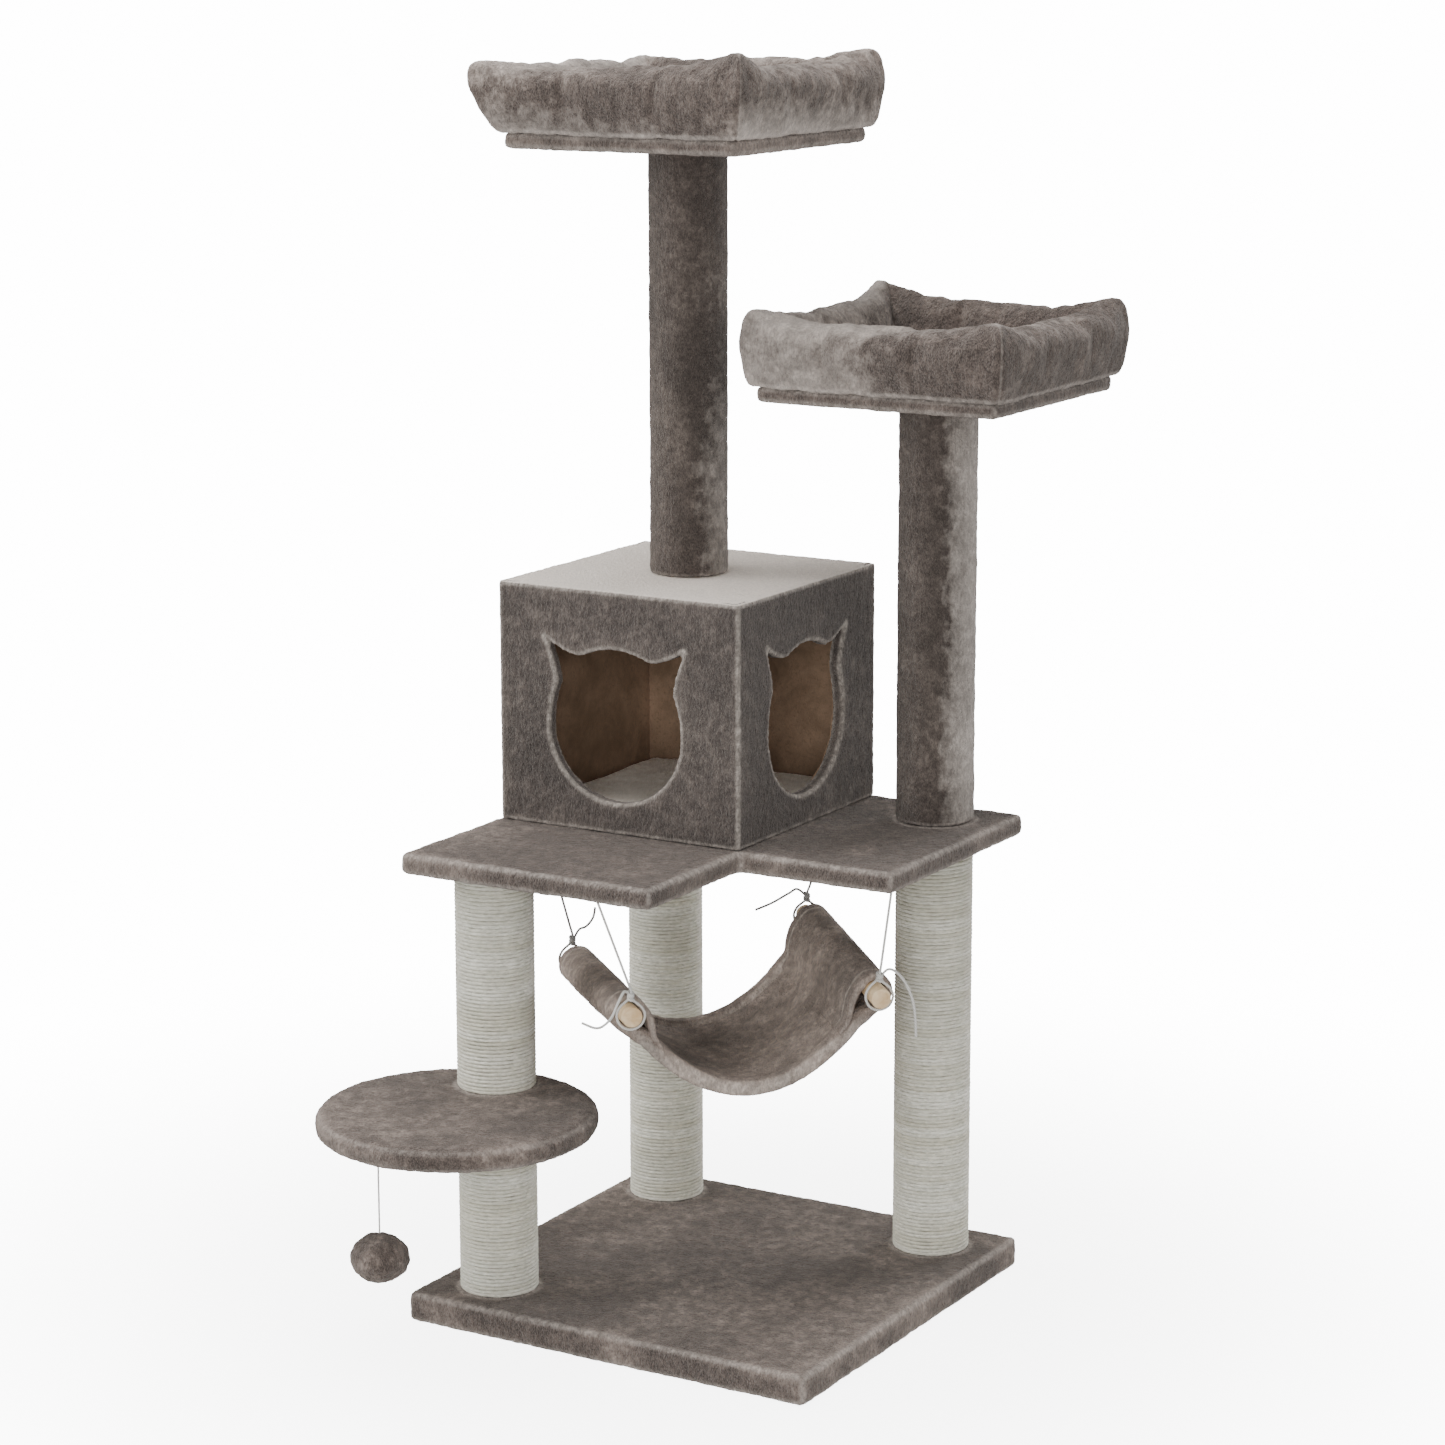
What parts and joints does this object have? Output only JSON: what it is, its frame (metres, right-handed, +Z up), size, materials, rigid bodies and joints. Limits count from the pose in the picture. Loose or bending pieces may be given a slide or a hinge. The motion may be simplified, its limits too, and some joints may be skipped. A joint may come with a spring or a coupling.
{
  "type": "cat tree",
  "caption": "Free-standing cat tree: sisal posts, house with cat-face doors, bolstered perches, round step, slung hammock and hanging toy ball.",
  "frame": {"origin": "middle of the base's underside, on the floor", "axes": "+Z up; +Y from the front edge to the back edge, where the house stands at the left; +X to the right. The deck's cut-out corner is at +X -Y."},
  "size_m": [0.647, 0.77, 1.3639],
  "materials": {
    "plush": "short plush pile, matte",
    "sisal": "wound sisal cord, matte",
    "board": "particle board, matte",
    "cardboard": "wound cardboard tube, matte",
    "lining": "non-woven lining, matte",
    "pad": "light fleece, matte",
    "steel": "zinc plated",
    "dowel": "plain turned pine",
    "cord": "braided cord, matte"
  },
  "bodies": {
    "frame": {"base_board": "board", "step_board": "board", "deck_board": "board", "upper_perch_board": "board", "lower_perch_board": "board", "house_front_panel": "board", "house_back_panel": "board", "house_left_panel": "board", "house_right_panel": "board", "house_roof_panel": "board", "base_plush": "plush", "step_plush": "plush", "deck_plush": "plush", "house_plush": "plush", "upper_perch_plush": "plush", "lower_perch_plush": "plush", "upper_perch_bolster_front": "plush", "upper_perch_bolster_right": "plush", "upper_perch_bolster_back": "plush", "upper_perch_bolster_left": "plush", "lower_perch_bolster_front": "plush", "lower_perch_bolster_right": "plush", "lower_perch_bolster_back": "plush", "lower_perch_bolster_left": "plush", "base_lining": "lining", "house_floor_pad": "pad", "front_left_post_lower_core": "cardboard", "front_left_post_upper_core": "cardboard", "back_left_post_core": "cardboard", "right_post_core": "cardboard", "upper_perch_post_core": "cardboard", "lower_perch_post_core": "cardboard", "front_left_post_lower_sisal": "sisal", "front_left_post_upper_sisal": "sisal", "back_left_post_sisal": "sisal", "right_post_sisal": "sisal", "upper_perch_post_plush": "plush", "lower_perch_post_plush": "plush", "base_bolt_1": "steel", "base_bolt_2": "steel", "base_bolt_3": "steel", "step_stud": "steel", "deck_bolt_1": "steel", "deck_bolt_2": "steel", "deck_stud": "steel", "roof_bolt": "steel", "upper_perch_bolt": "steel", "lower_perch_bolt": "steel", "toy_staple": "steel"},
    "rear_cords": {"hammock_cord_back_left": "cord", "hammock_cord_back_right": "cord"},
    "front_cords": {"hammock_cord_front_left": "cord", "hammock_cord_front_right": "cord"},
    "hammock": {"left_dowel": "dowel", "right_dowel": "dowel", "hammock_sling": "plush"},
    "toy_swivel": {"toy_ring": "steel"},
    "toy": {"toy_cord": "cord", "toy_ball": "plush"}
  },
  "joints": [
    {"name": "hammock_swing", "type": "hinge", "parent": "frame", "child": "rear_cords", "pos_m": [-0.0891, 0.0891, 0.508], "axis": [0.7071, 0.7071, 0], "range_deg": [-15, 15]},
    {"name": "hammock_level", "type": "hinge", "parent": "rear_cords", "child": "hammock", "pos_m": [-0.0891, 0.0891, 0.38], "axis": [0.7071, 0.7071, 0], "range_deg": [-15, 15]},
    {"name": "front_cord_swing", "type": "hinge", "parent": "frame", "child": "front_cords", "pos_m": [0.11455, -0.11455, 0.508], "axis": [0.7071, 0.7071, 0], "range_deg": [-15, 15]},
    {"name": "toy_swing_y", "type": "hinge", "parent": "frame", "child": "toy_swivel", "pos_m": [-0.191, -0.382, 0.232], "axis": [1, 0, 0], "range_deg": [-40, 40]},
    {"name": "toy_swing_x", "type": "hinge", "parent": "toy_swivel", "child": "toy", "pos_m": [-0.191, -0.382, 0.227], "axis": [0, 1, 0], "range_deg": [-40, 40]}
  ],
  "couplings": [
    {"joint": "hammock_level", "follows": "hammock_swing", "ratio": -1},
    {"joint": "front_cord_swing", "follows": "hammock_swing", "ratio": 1}
  ]
}
